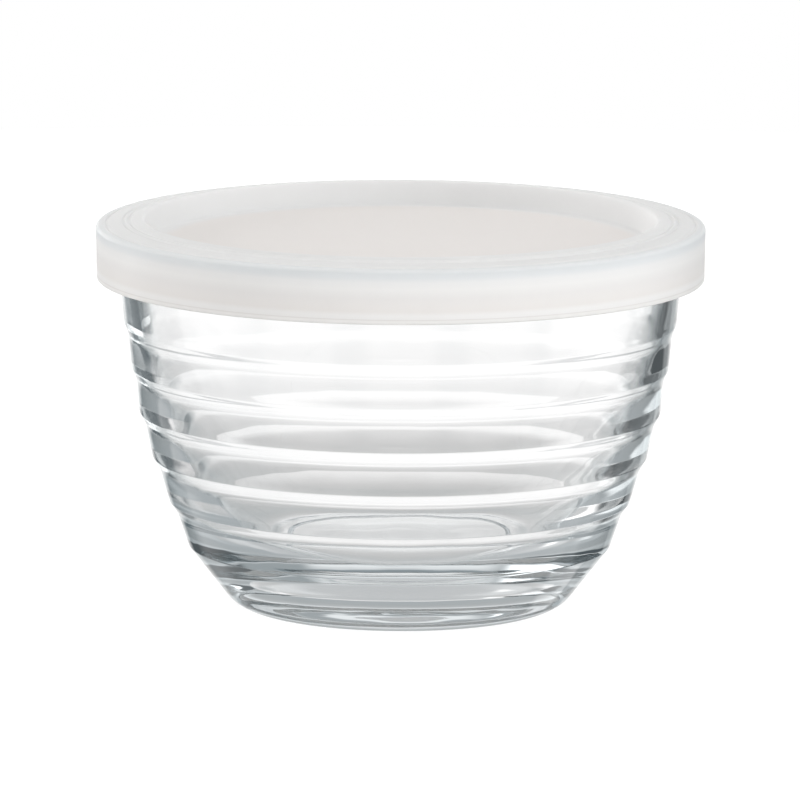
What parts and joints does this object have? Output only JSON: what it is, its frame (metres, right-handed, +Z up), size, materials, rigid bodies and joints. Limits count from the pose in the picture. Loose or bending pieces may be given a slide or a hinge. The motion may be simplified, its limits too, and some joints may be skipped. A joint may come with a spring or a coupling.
{
  "type": "lidded bowl",
  "caption": "Small round clear-glass bowl with stepped bands round its outside and a frosted plastic lid that presses on over the rim and lifts off.",
  "frame": {"origin": "centre of the flat ring that the bowl stands on", "axes": "+Z up along the bowl's axis, towards the lid; the bowl and lid are round, so +X and +Y are free"},
  "size_m": [0.1082, 0.1082, 0.0697],
  "materials": {
    "clear_glass": "clear, fire-polished pressed glass",
    "frosted_plastic": "frosted translucent white polyethylene, fine satin"
  },
  "bodies": {
    "bowl": {"glass_bowl": "clear_glass"},
    "lid": {"snap_lid": "frosted_plastic"}
  },
  "joints": [
    {"name": "lid_lift", "type": "slide", "parent": "bowl", "child": "lid", "axis": [0, 0, 1], "range_m": [0, 0.06]}
  ]
}
